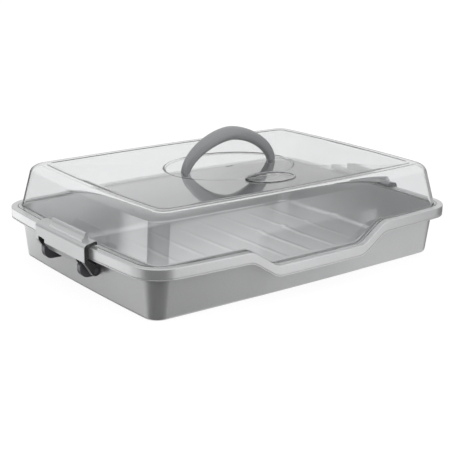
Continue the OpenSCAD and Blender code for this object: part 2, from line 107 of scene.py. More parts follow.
@dataclass(frozen=True)
class Dip:
    """The grip dip in the front of the rim, in millimetres."""

    length: float = 188.0
    floor: float = 124.0
    depth: float = 21.0
    bend: float = 6.0

    def _soft(self, distance: float) -> float:
        """Soft corner between level and falling.

        Args:
            distance: Place past the sharp corner, in millimetres.

        Returns:
            How far a slope of one has fallen there.
        """
        if distance <= -self.bend:
            return 0.0
        if distance >= self.bend:
            return distance
        return (distance + self.bend) ** 2 / (4 * self.bend)

    def drop(self, x: float) -> float:
        """How far the front rim has dropped at x.

        Args:
            x: Place along the front, in millimetres.

        Returns:
            The drop in millimetres.
        """
        slope = 2 * self.depth / (self.length - self.floor)
        ramp = self._soft(self.length / 2 - abs(x)) - self._soft(self.floor / 2 - abs(x))
        return slope * ramp

    def places(self, reach: float) -> list[float]:
        """Places along the front side, close together round the four bends.

        Args:
            reach: Distance from the middle to the corner's start, in millimetres.

        Returns:
            Places from -reach to +reach.
        """
        corners = (self.length / 2, self.floor / 2)
        bends = [self.bend * (1 - 2 * k / BEND_STEPS) for k in range(BEND_STEPS + 1)]
        outer, inner = corners[0] + self.bend, corners[1] - self.bend
        gap = corners[0] - corners[1] - 2 * self.bend
        half = [reach + (outer - reach) * k / LEVEL_STEPS for k in range(LEVEL_STEPS)]
        half += [corners[0] + b for b in bends]
        half += [corners[0] - self.bend - gap * k / SLOPE_STEPS for k in range(1, SLOPE_STEPS)]
        half += [corners[1] + b for b in bends]
        half += [inner * (1 - k / LEVEL_STEPS) for k in range(1, LEVEL_STEPS)]
        return [-x for x in half] + [0.0] + half[::-1]


@dataclass(frozen=True)
class Section:
    """One level of a shell: a bowed rounded rectangle at height z, in millimetres.

    The share says how far the front side follows the grip dip, and the lean how far it
    moves inwards for each millimetre that it drops.
    """

    half_x: float
    half_y: float
    bow_x: float
    bow_y: float
    corner: float
    z: float = 0.0
    share: float = 0.0
    lean: float = 0.0

    def inset(self, step: float) -> "Section":
        """The section moved inwards all round, with tighter corners.

        Args:
            step: How far it moves, in millimetres.

        Returns:
            The smaller section at the same height.
        """
        corner = max(1.0, self.corner - step)
        return replace(self, half_x=self.half_x - step, half_y=self.half_y - step, corner=corner)

    def at(self, z: float, share: float = 0.0, lean: float = 0.0) -> "Section":
        """The same outline at another height."""
        return replace(self, z=z, share=share, lean=lean)

    def mix(self, other: "Section", t: float) -> "Section":
        """The section part of the way to another."""
        return Section(*(a + (b - a) * t for a, b in zip(astuple(self), astuple(other))))

    def distance(self, other: "Section") -> float:
        """Distance between two sections, measured at the end wall."""
        return math.hypot(self.half_x - other.half_x, self.z - other.z)

    def ring(self, dip: Dip) -> Ring:
        """The section as points in metres, always the same number of them.

        Args:
            dip: The grip dip that the front side follows.

        Returns:
            Points that run anticlockwise from the front left corner.
        """
        reach_x = self.half_x - self.bow_x - self.corner
        reach_y = self.half_y - self.bow_y - self.corner
        end_x = math.atan(2 * self.bow_y / reach_x)
        end_y = math.atan(2 * self.bow_x / reach_y)

        def side(half: float, bow: float, reach: float, s: float) -> tuple[float, float]:
            """A point of a bowed side.

            Args:
                half: Distance of the side's middle from the outline's middle.
                bow: How far the side's ends lie nearer in.
                reach: Half the side's length.
                s: Place along the side.

            Returns:
                Its place along the side and its distance from the middle.
            """
            slope = 2 * bow * s / reach**2
            n = math.hypot(1.0, slope)
            out = half - self.corner - bow * (s / reach) ** 2 + self.corner / n
            return s + self.corner * slope / n, out

        def corner(cx: float, cy: float, start: float, end: float) -> list[tuple[float, float]]:
            """A round corner's points.

            Args:
                cx: Place of its middle along X.
                cy: Place of its middle along Y.
                start: Bearing of the side before it, in radians.
                end: Bearing of the side after it.

            Returns:
                The points between the two sides.
            """
            turns = (start + (end - start) * k / CORNER_STEPS for k in range(1, CORNER_STEPS))
            return [(cx + self.corner * math.cos(a), cy + self.corner * math.sin(a)) for a in turns]

        right, half_turn = math.pi / 2, math.pi
        end_places = [reach_y * (2 * k / END_STEPS - 1) for k in range(END_STEPS + 1)]
        back_places = [reach_x * (2 * k / BACK_STEPS - 1) for k in range(BACK_STEPS + 1)]
        points: list[Triple] = []
        for s in dip.places(reach_x):
            x, out = side(self.half_y, self.bow_y, reach_x, s)
            drop = self.share * dip.drop(s)
            points.append((x, self.lean * drop - out, self.z - drop))
        flat = corner(reach_x, -reach_y, -right + end_x, -end_y)
        ends = [side(self.half_x, self.bow_x, reach_y, s) for s in end_places]
        flat += [(out, y) for y, out in ends]
        flat += corner(reach_x, reach_y, end_y, right - end_x)
        flat += [side(self.half_y, self.bow_y, reach_x, s) for s in reversed(back_places)]
        flat += corner(-reach_x, reach_y, right + end_x, half_turn - end_y)
        flat += [(-out, y) for y, out in reversed(ends)]
        flat += corner(-reach_x, -reach_y, half_turn + end_y, 3 * right - end_x)
        points += [(x, y, self.z) for x, y in flat]
        return [Vector(p) * MM for p in points]


def soften(path: Sequence[tuple[Section, float]], steps: int = 4) -> list[Section]:
    """Rounds the corners of a shell's cross-section.

    Args:
        path: Sections in order, each with the length cut off at its corner, in millimetres.
        steps: Pieces in each rounded corner.

    Returns:
        The sections with each corner replaced by a short curve.
    """
    made: list[Section] = []
    for k, (here, cut) in enumerate(path):
        if cut <= 0 or k in (0, len(path) - 1):
            made.append(here)
            continue
        before, after = path[k - 1][0], path[k + 1][0]
        back = min(cut / max(here.distance(before), 1e-6), 0.49)
        on = min(cut / max(here.distance(after), 1e-6), 0.49)
        start, end = here.mix(before, back), here.mix(after, on)
        for j in range(steps + 1):
            t = j / steps
            made.append(start.mix(here, t).mix(here.mix(end, t), t))
    return made


# ------------------------------------------------------------------ modelling by operators


def deselect_all() -> None:
    """Leaves edit mode and deselects every object."""
    if bpy.context.object and bpy.context.object.mode != "OBJECT":
        bpy.ops.object.mode_set(mode="OBJECT")
    bpy.ops.object.select_all(action="DESELECT")


def make_active(piece: Piece) -> None:
    """Selects one piece alone and makes it the active object.

    Args:
        piece: The piece.
    """
    deselect_all()
    piece.select_set(True)
    bpy.context.view_layer.objects.active = piece


def named(name: str) -> Piece:
    """Gives the active object and its mesh a name.

    Args:
        name: The name.

    Returns:
        The active object.
    """
    piece = bpy.context.active_object
    piece.name = name
    piece.data.name = name
    return piece


def settle(piece: Piece) -> None:
    """Writes the object's place, turn and scale into its mesh."""
    make_active(piece)
    bpy.ops.object.transform_apply(location=True, rotation=True, scale=True)


def face_outwards(piece: Piece) -> None:
    """Merges doubles and turns every face outwards.

    Args:
        piece: The piece to mend.
    """
    make_active(piece)
    bpy.ops.object.mode_set(mode="EDIT")
    bpy.ops.mesh.select_all(action="SELECT")
    bpy.ops.mesh.remove_doubles(threshold=1e-6)
    bpy.ops.mesh.normals_make_consistent(inside=False)
    bpy.ops.object.mode_set(mode="OBJECT")


def smooth(piece: Piece, degrees: float = 40.0) -> None:
    """Shades a piece smooth and keeps its sharp edges.

    Args:
        piece: The piece to shade.
        degrees: Angle from which an edge counts as sharp.
    """
    make_active(piece)
    bpy.ops.object.shade_smooth_by_angle(angle=math.radians(degrees))
    apply_modifier(piece, "WEIGHTED_NORMAL", mode="FACE_AREA", weight=60, keep_sharp=True)


def apply_modifier(piece: Piece, kind: str, **settings: object) -> None:
    """Adds a modifier, sets it and applies it.

    Args:
        piece: The piece to change.
        kind: The modifier's type.
        settings: Its properties by name.
    """
    make_active(piece)
    modifier = piece.modifiers.new(kind.title(), kind)
    for key, value in settings.items():
        setattr(modifier, key, value)
    bpy.ops.object.modifier_apply(modifier=modifier.name)


def join(pieces: Sequence[Piece], name: str) -> Piece:
    """Joins pieces into one object.

    Args:
        pieces: The pieces, all in object mode.
        name: The new piece's name.

    Returns:
        The joined piece.
    """
    deselect_all()
    for piece in pieces:
        piece.select_set(True)
    bpy.context.view_layer.objects.active = pieces[0]
    bpy.ops.object.join()
    return named(name)


def walk_rings(name: str, rings: Sequence[Ring]) -> Piece:
    """Draws a closed solid ring by ring.

    A filled circle is laid on the first ring and extruded on to each of the next, so that
    the last face closes the end.

    Args:
        name: The piece's name.
        rings: Rings with the same number of points.

    Returns:
        The piece, in object mode.
    """
    deselect_all()
    bpy.ops.mesh.primitive_circle_add(vertices=len(rings[0]), radius=0.1, fill_type="NGON")
    piece = named(name)
    bpy.ops.object.mode_set(mode="EDIT")
    mesh = bmesh.from_edit_mesh(piece.data)
    place = mesh.verts.layers.int.new("place")
    for number, vertex in enumerate(mesh.verts):
        vertex[place] = number
    for count, ring in enumerate(rings):
        if count:
            bpy.ops.mesh.extrude_region()
            mesh = bmesh.from_edit_mesh(piece.data)
            place = mesh.verts.layers.int["place"]
        for vertex in mesh.verts:
            if vertex.select:
                vertex.co = ring[vertex[place]]
        bmesh.update_edit_mesh(piece.data)
    bpy.ops.object.mode_set(mode="OBJECT")
    piece.data.attributes.remove(piece.data.attributes["place"])
    face_outwards(piece)
    return piece


def rounded_block(name: str, size: Triple, middle: Triple, edge: float) -> Piece:
    """A block with rounded edges, in millimetres.

    Args:
        name: The piece's name.
        size: Length, width and height.
        middle: Its middle.
        edge: Radius of its edges.

    Returns:
        The piece, with its place in its mesh.
    """
    deselect_all()
    bpy.ops.mesh.primitive_cube_add(size=1, location=Vector(middle) * MM, scale=Vector(size) * MM)
    piece = named(name)
    settle(piece)
    apply_modifier(piece, "BEVEL", width=edge * MM, segments=3, limit_method="ANGLE")
    return piece


def oval_ring(like: Ring, length: float, width: float, z: float, middle_y: float = 0.0) -> Ring:
    """An oval with a point for each point of another ring, at the same bearing.

    Args:
        like: The ring whose points it answers to.
        length: Length along X in millimetres.
        width: Width along Y in millimetres.
        z: Height in millimetres.
        middle_y: Place of its middle along Y in millimetres.

    Returns:
        The oval's points in metres.
    """
    reach_x = max(p.x for p in like)
    reach_y = max(p.y for p in like)
    bearings = (math.atan2(p.y / reach_y, p.x / reach_x) for p in like)
    places = ((length / 2 * math.cos(a), middle_y + width / 2 * math.sin(a), z) for a in bearings)
    return [Vector(place) * MM for place in places]


# ------------------------------------------------------------------ node building


@dataclass
class Nodes:
    """A small helper that adds nodes to a tree and joins them."""

    tree: Tree
    column: int = 0

    def add(self, kind: str, **values: object) -> Node:
        """Adds a node and sets its properties, or its sockets where no property has the name.

        Args:
            kind: The node's type.
            values: Properties, or sockets with underscores for spaces.

        Returns:
            The node.
        """
        node = self.tree.nodes.new(kind)
        self.column += 1
        node.location = (180 * (self.column % 12), -220 * (self.column // 12))
        for key, value in values.items():
            if hasattr(node, key):
                setattr(node, key, value)
            else:
                node.inputs[key.replace("_", " ")].default_value = value
        return node

    def link(self, source: object, target: Socket) -> None:
        """Joins two sockets, or sets the target.

        Args:
            source: A socket, a number, or a colour of three shares.
            target: The socket that it goes to.
        """
        if isinstance(source, Socket):
            self.tree.links.new(source, target)
        else:
            target.default_value = (*source, 1) if isinstance(source, tuple) else source

    def math(self, operation: str, *values: object) -> Socket:
        """Adds a Math node.

        Args:
            operation: What it does.
            values: Its numbers or sockets, in order.

        Returns:
            The result's socket.
        """
        node = self.add("ShaderNodeMath", operation=operation)
        for socket, value in zip(node.inputs, values):
            self.link(value, socket)
        return node.outputs[0]

    def mix_colour(self, blend: str, share: object, under: object, over: object) -> Socket:
        """Adds a colour Mix node.

        Args:
            blend: How the upper colour is laid on.
            share: How much of it is laid on, as a number or socket.
            under: The lower colour, as three shares or a socket.
            over: The upper colour.

        Returns:
            The result's socket.
        """
        node = self.add("ShaderNodeMix", data_type="RGBA", blend_type=blend)
        for number, value in ((0, share), (6, under), (7, over)):
            self.link(value, node.inputs[number])
        return node.outputs[2]

    def mix_shader(self, share: Socket, first: Node, second: Node) -> Node:
        """Adds a Mix Shader node.

        Args:
            share: How much of the second shader shows.
            first: The first shader.
            second: The second shader.

        Returns:
            The node.
        """
        node = self.add("ShaderNodeMixShader")
        for source, target in zip((share, first.outputs[0], second.outputs[0]), node.inputs):
            self.link(source, target)
        return node

    def ramp(self, source: Socket, *limits: float) -> Socket:
        """Adds a clamped, eased Map Range node.

        Args:
            source: The value to map.
            limits: The two limits, and the two values that they become.

        Returns:
            The result's socket.
        """
        node = self.add("ShaderNodeMapRange", interpolation_type="SMOOTHSTEP")
        for value, socket in zip((source, *limits), node.inputs):
            self.link(value, socket)
        return node.outputs[0]


def new_material(name: str) -> tuple[Material, Nodes, Node, Node]:
    """Starts a node material.

    Args:
        name: The material's name.

    Returns:
        The material, its node helper, its main shader and its output node.
    """
    material = bpy.data.materials.new(name)
    material.use_nodes = True
    tree = material.node_tree
    return material, Nodes(tree), tree.nodes["Principled BSDF"], tree.nodes["Material Output"]


def new_group(name: str, inputs: dict[str, float], outputs: Sequence[str]) -> tuple[Nodes, dict, dict]:
    """Starts a shader node group with float sockets.

    Args:
        name: The group's name.
        inputs: Input names with their usual values.
        outputs: Output names.

    Returns:
        The node helper, the group's inputs by name and its output sockets by name.
    """
    tree = bpy.data.node_groups.new(name, "ShaderNodeTree")
    for key, value in inputs.items():
        socket = tree.interface.new_socket(key, in_out="INPUT", socket_type="NodeSocketFloat")
        socket.default_value = value
    for key in outputs:
        tree.interface.new_socket(key, in_out="OUTPUT", socket_type="NodeSocketFloat")
    nodes = Nodes(tree)
    source = nodes.add("NodeGroupInput")
    target = nodes.add("NodeGroupOutput")
    return nodes, {k: source.outputs[k] for k in inputs}, {k: target.inputs[k] for k in outputs}


def build_moulded_skin() -> Tree:
    """The fine skin of moulded plastic: flow clouds, a faint orange peel and light handling marks.

    Returns:
        A group with outputs Height, Cloud and Rub.
    """
    scales = {"Peel Scale": 900.0, "Cloud Scale": 9.0, "Rub Scale": 60.0}
    nodes, given, made = new_group("moulded_skin", scales, ("Height", "Cloud", "Rub"))
    place = nodes.add("ShaderNodeTexCoord").outputs["Object"]
    peel = nodes.add("ShaderNodeTexNoise", Detail=3.0, Roughness=0.55)
    cloud = nodes.add("ShaderNodeTexNoise", Detail=4.0, Roughness=0.5, Distortion=0.6)
    rub = nodes.add("ShaderNodeTexNoise", Detail=8.0, Roughness=0.7, Distortion=1.5)
    for node, key in ((peel, "Peel Scale"), (cloud, "Cloud Scale"), (rub, "Rub Scale")):
        nodes.link(place, node.inputs["Vector"])
        nodes.link(given[key], node.inputs["Scale"])
    nodes.link(peel.outputs["Fac"], made["Height"])
    nodes.link(nodes.ramp(cloud.outputs["Fac"], 0.3, 0.7, 0.0, 1.0), made["Cloud"])
    nodes.link(nodes.ramp(rub.outputs["Fac"], 0.55, 0.75, 0.0, 1.0), made["Rub"])
    return nodes.tree


def build_pearl_fleck() -> Tree:
    """The pearl of silver plastic: small flecks that differ in brightness and lie at small angles.

    Returns:
        A group with outputs Fleck and Height.
    """
    nodes, given, made = new_group("pearl_fleck", {"Scale": 2600.0, "Share": 0.5}, ("Fleck", "Height"))
    place = nodes.add("ShaderNodeTexCoord").outputs["Object"]
    cells = nodes.add("ShaderNodeTexVoronoi", Randomness=1.0)
    nodes.link(place, cells.inputs["Vector"])
    nodes.link(given["Scale"], cells.inputs["Scale"])
    parts = nodes.add("ShaderNodeSeparateColor")
    nodes.link(cells.outputs["Color"], parts.inputs[0])
    shown = nodes.math("GREATER_THAN", parts.outputs[1], given["Share"])
    nodes.link(nodes.math("MULTIPLY", parts.outputs[0], shown), made["Fleck"])
    nodes.link(parts.outputs[2], made["Height"])
    return nodes.tree


@dataclass(frozen=True)
class GroupSet:
    """The shared node groups."""

    skin: Tree
    fleck: Tree


@dataclass(frozen=True)
class MouldedFinish:
    """An opaque moulded plastic with a pearl in it, and, where a shade is given, painted shade multiplied
    into the faces marked for it.
    """

    name: str
    colour: Triple
    cloud_colour: Triple
    metallic: float
    roughness: float
    fleck: float
    rub_roughness: float = 0.05
    peel: float = 0.25
    coat: float = 0.25
    coat_roughness: float = 0.12
    # Darkness multiplied into the faces marked for painted shade; None leaves every face alone.
    shade: float | None = None
    cloud_roughness: float = 0.03
    fleck_bright: float = 0.8
    fleck_height: float = 0.35
    peel_height: float = 0.00004

    def build(self, groups: GroupSet) -> Material:
        """Builds the material.

        Args:
            groups: The shared node groups.

        Returns:
            The material.
        """
        material, nodes, shader, _ = new_material(self.name)
        shader.inputs["Metallic"].default_value = self.metallic
        shader.inputs["Coat Weight"].default_value = self.coat
        shader.inputs["Coat Roughness"].default_value = self.coat_roughness
        skin = nodes.add("ShaderNodeGroup", node_tree=groups.skin)
        fleck = nodes.add("ShaderNodeGroup", node_tree=groups.fleck)
        base = nodes.mix_colour("MIX", skin.outputs["Cloud"], self.colour, self.cloud_colour)
        glint = tuple(c * self.fleck_bright for c in self.colour)
        flecks = nodes.math("MULTIPLY", fleck.outputs["Fleck"], self.fleck)
        colour = nodes.mix_colour("SCREEN", flecks, base, glint)
        # Painted shade: the marked faces are multiplied by the shade, so they look as if they stood in
        # shadow.
        if self.shade is not None:
            mask = nodes.add("ShaderNodeAttribute", attribute_name="painted_shade_face")
            shade = (self.shade, self.shade, self.shade)
            colour = nodes.mix_colour("MULTIPLY", mask.outputs["Fac"], colour, shade)
        nodes.link(colour, shader.inputs["Base Color"])
        cloud = nodes.math("MULTIPLY_ADD", skin.outputs["Cloud"], self.cloud_roughness, self.roughness)
        rub = nodes.math("MULTIPLY", skin.outputs["Rub"], self.rub_roughness)
        nodes.link(nodes.math("ADD", cloud, rub), shader.inputs["Roughness"])
        height = nodes.math("MULTIPLY", fleck.outputs["Height"], self.fleck_height)
        bump = nodes.add("ShaderNodeBump", Strength=self.peel, Distance=self.peel_height)
        nodes.link(nodes.math("ADD", skin.outputs["Height"], height), bump.inputs["Height"])
        nodes.link(bump.outputs[0], shader.inputs["Normal"])
        return material


@dataclass(frozen=True)
class ClearFinish:
    """Clear polished plastic that lets lamplight through to what it covers."""

    name: str = "clear_lid_plastic"
    colour: Triple = (0.975, 0.982, 0.985)
    roughness: float = 0.012
    ior: float = 1.56
    shade: float = 0.93
    density: float = 21.0
    peel: float = 0.05
    peel_scale: float = 70.0
    peel_height: float = 0.0002
    cloud: float = 0.985
    rub_roughness: float = 0.02

    def build(self, groups: GroupSet) -> Material:
        """Builds the material.

        Args:
            groups: The shared node groups.

        Returns:
            The material.
        """
        material, nodes, shader, output = new_material(self.name)
        shader.inputs["Transmission Weight"].default_value = 1.0
        shader.inputs["IOR"].default_value = self.ior
        skin = nodes.add("ShaderNodeGroup", node_tree=groups.skin)
        skin.inputs["Peel Scale"].default_value = self.peel_scale
        clouded = tuple(c * self.cloud for c in self.colour)
        tint = nodes.mix_colour("MIX", skin.outputs["Cloud"], self.colour, clouded)
        nodes.link(tint, shader.inputs["Base Color"])
        rough = nodes.math("MULTIPLY_ADD", skin.outputs["Rub"], self.rub_roughness, self.roughness)
        nodes.link(rough, shader.inputs["Roughness"])
        bump = nodes.add("ShaderNodeBump", Strength=self.peel, Distance=self.peel_height)
        nodes.link(skin.outputs["Height"], bump.inputs["Height"])
        nodes.link(bump.outputs[0], shader.inputs["Normal"])
        depth = nodes.add("ShaderNodeVolumeAbsorption", Color=(0.0, 0.0, 0.0, 1), Density=self.density)
        nodes.link(depth.outputs[0], output.inputs["Volume"])
        through = nodes.add("ShaderNodeBsdfTransparent", Color=(self.shade, self.shade, self.shade, 1))
        path = nodes.add("ShaderNodeLightPath")
        either = nodes.math("MAXIMUM", path.outputs["Is Shadow Ray"], path.outputs["Is Diffuse Ray"])
        nodes.link(nodes.mix_shader(either, shader, through).outputs[0], output.inputs["Surface"])
        return material


@dataclass(frozen=True)
class Finishes:
    """The built materials."""

    tray: Material
    lid: Material
    handle: Material
    latch: Material
    # finish of the hinge lugs, dark as painted shade
    lugs: Material


def build_finishes() -> Finishes:
    """Builds the shared groups and every finish.

    Returns:
        The materials of the carrier.
    """
    groups = GroupSet(build_moulded_skin(), build_pearl_fleck())
    tray = MouldedFinish(
        name="silver_tray_plastic",
        colour=(0.61, 0.615, 0.62),
        cloud_colour=(0.58, 0.585, 0.59),
        metallic=0.80,
        roughness=0.30,
        fleck=0.35,
    )
    latch = MouldedFinish(
        name="silver_latch_plastic",
        colour=(0.53, 0.535, 0.54),
        cloud_colour=(0.50, 0.505, 0.51),
        metallic=0.65,
        roughness=0.34,
        fleck=0.3,
        # Painted shade on the latch's faces across Y, the ends of its legs and plate.
        shade=0.14,
    )
    handle = MouldedFinish(
        name="grey_handle_plastic",
        colour=(0.245, 0.25, 0.255),
        cloud_colour=(0.23, 0.235, 0.24),
        metallic=0.10,
        roughness=0.34,
        fleck=0.25,
        rub_roughness=0.08,
        peel=0.4,
        coat=0.10,
    )
    # The lugs are moulded like the tray; their dark colour is painted shade for the shadow under the latch
    # plate.
    lugs = MouldedFinish(
        name="lug_plastic_painted_shade",
        colour=(0.10, 0.10, 0.11),
        cloud_colour=(0.08, 0.08, 0.09),
        metallic=0.5,
        roughness=0.36,
        fleck=0.2,
    )
    return Finishes(*(finish.build(groups) for finish in (tray, ClearFinish(), handle, latch, lugs)))


def mark_painted_shade_faces(piece: Piece, limit: float = 0.8, ceiling: float = 64.0) -> None:
    """Writes the attribute for painted shade, which darkens a piece's faces across Y, its cut ends, as if
    they stood in shadow.

    Args:
        piece: The piece to mark.
        limit: How far a face must look along Y to count.
        ceiling: Height above which no face is marked, in millimetres.
    """
    mesh = piece.data
    attribute = mesh.attributes.new("painted_shade_face", "FLOAT", "FACE")
    for polygon in mesh.polygons:
        across = abs(polygon.normal.y) > limit and polygon.center.z < ceiling * MM
        attribute.data[polygon.index].value = 1.0 if across else 0.0


def dress(piece: Piece, material: Material, body: Body) -> None:
    """Gives a piece its material and the body that it rides on.

    Args:
        piece: The finished piece.
        material: Its material.
        body: The body that carries it.
    """
    piece.data.materials.clear()
    piece.data.materials.append(material)
    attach(piece, body.value)
    log.info("%s: %d faces, rides on %s", piece.name, len(piece.data.polygons), body.value)


# ------------------------------------------------------------------ tray


@dataclass(frozen=True)
class Tray:
    """The tray with its rolled rim, foot ring, floor ribs and hinge lugs, in millimetres."""

    rim: Section = Section(225.0, 164.25, 4.3, 7.3, 36.5)
    base: Section = Section(205.4, 139.7, 2.4, 2.4, 16.5)
    dip: Dip = field(default_factory=Dip)
    rim_height: float = 61.3
    skirt_bottom: float = 48.6
    skirt_wall: float = 2.2
    seat_height: float = 59.3
    rim_underside: float = 57.1
    border: float = 7.4
    wall_top: float = 14.2
    wall: float = 2.4
    wall_lean: float = 0.2
    floor: float = 3.0
    foot_width: float = 13.0
    foot_height: float = 1.0
    foot_slope: float = 0.6
    foot_round: float = 4.0
    floor_round: float = 6.5
    rim_round: float = 1.3
    middle: float = 80.0
    bead: float = 1.4
    groove_depth: float = 0.8
    groove_height: float = 1.0
    groove_slope: float = 0.2
    rib_count: int = 9
    rib_width: float = 12.0
    rib_height: float = 0.5
    rib_length: float = 240.6
    rib_crest: float = 0.3

    def sections(self) -> list[Section]:
        """The tray's cross-section from the middle of the underside to the middle of the floor.

        Returns:
            The sections, with every corner rounded.
        """
        rim, base = self.rim, self.base
        groove_z = self.skirt_bottom + self.bead
        groove_end = groove_z + self.groove_height
        foot = self.foot_round + self.foot_width
        inner = base.inset(self.wall)
        # Each section with the length cut off at its corner
        path: list[tuple[Section, float]] = [
            (base.inset(self.middle).at(self.foot_height), 0),
            (base.inset(foot + self.foot_slope).at(self.foot_height), 0.3),
            (base.inset(foot).at(0), 0.3),
            (base.at(0), self.foot_round),
            (rim.inset(self.wall_top - self.wall).at(self.rim_underside, 1, self.wall_lean), 0.8),
            (rim.inset(self.skirt_wall).at(self.rim_underside, 1), 0.8),
            (rim.inset(self.skirt_wall).at(self.skirt_bottom, 1), 0.5),
            (rim.at(self.skirt_bottom, 1), 0.6),
            (rim.at(groove_z, 1), 0.25),
            (rim.inset(self.groove_depth).at(groove_z + self.groove_slope, 1), 0.2),
            (rim.inset(self.groove_depth).at(groove_end - self.groove_slope, 1), 0.2),
            (rim.at(groove_end, 1), 0.25),
            (rim.at(self.rim_height, 1), self.rim_round),
            (rim.inset(self.border).at(self.rim_height, 1), 0.5),
            (rim.inset(self.border).at(self.seat_height, 1), 0.4),
            (rim.inset(self.wall_top).at(self.seat_height, 1, self.wall_lean), 0.8),
            (inner.at(self.floor), self.floor_round),
            (inner.inset(self.middle).at(self.floor), 0),
        ]
        return soften(path, steps=5)

    def build_shell(self) -> Piece:
        """Walks the tray's cross-section round its outline.

        Returns:
            The tray without its ribs and lugs.
        """
        piece = walk_rings("tray_shell", [section.ring(self.dip) for section in self.sections()])
        smooth(piece)
        return piece

    def rib_ring(self, half_x: float, half_y: float, z: float) -> Ring:
        """A ring of a floor rib, with round ends.

        Args:
            half_x: Half its width.
            half_y: Half its length.
            z: Its height above the floor.

        Returns:
            The ring in metres.
        """
        count = 16
        turns = [math.pi * (k + 0.5) / count for k in range(count)]
        reach = half_y - half_x
        far = [(half_x * math.cos(a), reach + half_x * math.sin(a)) for a in turns]
        return [Vector((x, y, z)) * MM for x, y in [*far, *((-x, -y) for x, y in far)]]

    def build_ribs(self) -> Piece:
        """The soft ribs across the floor, one modelled and the others copied from it.

        Returns:
            All ribs as one piece.
        """
        pitch = 2 * (self.base.half_x - self.wall - self.rib_width / 2) / (self.rib_count + 1)
        half_x, half_y, steps = self.rib_width / 2, self.rib_length / 2, 8
        rings = [self.rib_ring(half_x, half_y, -self.rib_height), self.rib_ring(half_x, half_y, 0.0)]
        for k in range(1, steps + 1):
            back = (half_x - self.rib_crest) * k / steps
            rise = self.rib_height * (1 - math.cos(math.pi * k / steps)) / 2
            rings.append(self.rib_ring(half_x - back, half_y - back, rise))
        first = walk_rings("floor_ribs", rings)
        make_active(first)
        bpy.ops.transform.translate(value=(-pitch * (self.rib_count - 1) / 2 * MM, 0, self.floor * MM))
        settle(first)
        ribs = [first]
        for k in range(1, self.rib_count):
            make_active(first)
            bpy.ops.object.duplicate()
            copy = bpy.context.active_object
            bpy.ops.transform.translate(value=(k * pitch * MM, 0, 0))
            settle(copy)
            ribs.append(copy)
        piece = join(ribs, "floor_ribs")
        smooth(piece)
        return piece

    def build(self, finishes: Finishes) -> None:
        """Builds and dresses the tray's pieces.

        Args:
            finishes: The built materials.
        """
        shell = self.build_shell()
        dress(shell, finishes.tray, Body.TRAY)
        dress(self.build_ribs(), finishes.tray, Body.TRAY)
        for side, sign in (("left", -1), ("right", 1)):
            lugs = Lugs(side, sign).build()
            # The lugs wear the dark finish: painted shade for the shadow under the latches.
            dress(lugs, finishes.lugs, Body.TRAY)
        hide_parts("base_tray")


@dataclass(frozen=True)
class Lugs:
    """The pair of hinge lugs at one end of the tray, with their stubs, in millimetres."""

    side: str
    sign: int
    axis_x: float = 216.6
    axis_z: float = 34.5
    outer_y: float = 42.0
    inner_y: float = 35.0
    reach: float = 12.7
    root_x: float = 206.6
    top_z: float = 57.3
    nose_share: float = 0.75
    nose_rise: float = 0.4
    root_drop: float = 9.4
    chin_rise: float = 5.4
    brow: tuple[float, float] = (0.45, 9.8)
    neck: float = 4.6
    inner_top: float = 5.0
    inner_root: tuple[float, float] = (0.6, 4.0)
    stub_radius: float = 2.5
    stub_end: float = 53.0
    stub_root: float = 1.0
    edge: float = 0.4
    sharp: float = 0.6
    stub_edge: float = 0.3

    def profile(self) -> list[tuple[float, float]]:
        """Side view of a lug: a rounded nose round the hinge axis, rooted in the wall and rim.

        Returns:
            The outline's points, with the distance from the tray's middle first and then the height.
        """
        nose, steps = self.reach * self.nose_share, 12
        nose_x, nose_z = self.axis_x + self.reach - nose, self.axis_z + self.nose_rise
        points = [(self.root_x, self.axis_z - self.root_drop)]
        for k in range(steps + 1):
            a = math.pi / 2 * (k / steps - 1)
            points.append((nose_x + nose * math.cos(a), nose_z + nose * math.sin(a)))
        points += [
            (self.axis_x + self.reach, self.axis_z + self.chin_rise),
            (self.axis_x + self.reach * self.brow[0], self.axis_z + self.brow[1]),
            (self.axis_x + self.neck, self.top_z),
            (self.root_x + self.inner_top, self.top_z),
            (self.root_x + self.inner_root[0], self.axis_z - self.inner_root[1]),
        ]
        return points

    def build(self) -> Piece:
        """Models one lug and copies it to the other side.

        Returns:
            Both lugs as one piece.
        """
        outline = self.profile()
        faces = (self.inner_y, self.outer_y)
        rings = [[Vector((self.sign * x, y, z)) * MM for x, z in outline] for y in faces]
        lug = walk_rings(f"hinge_lugs_{self.side}", rings)
        width = self.edge * MM
        apply_modifier(
            lug, "BEVEL", width=width, segments=2, limit_method="ANGLE", angle_limit=self.sharp
        )
        deselect_all()
        start = self.outer_y - self.stub_root
        length = self.stub_end - start
        bpy.ops.mesh.primitive_cylinder_add(
            vertices=48,
            radius=self.stub_radius * MM,
            depth=length * MM,
            location=Vector((self.sign * self.axis_x, start + length / 2, self.axis_z)) * MM,
            rotation=(math.pi / 2, 0, 0),
        )
        stub = named("stub")
        settle(stub)
        apply_modifier(stub, "BEVEL", width=self.stub_edge * MM, segments=2, limit_method="ANGLE")
        near = join([lug, stub], lug.name)
        bpy.ops.object.duplicate()
        far = bpy.context.active_object
        far.scale = (1, -1, 1)
        settle(far)
        face_outwards(far)
        piece = join([near, far], f"hinge_lugs_{self.side}")
        smooth(piece)
        return piece


# ------------------------------------------------------------------ lid


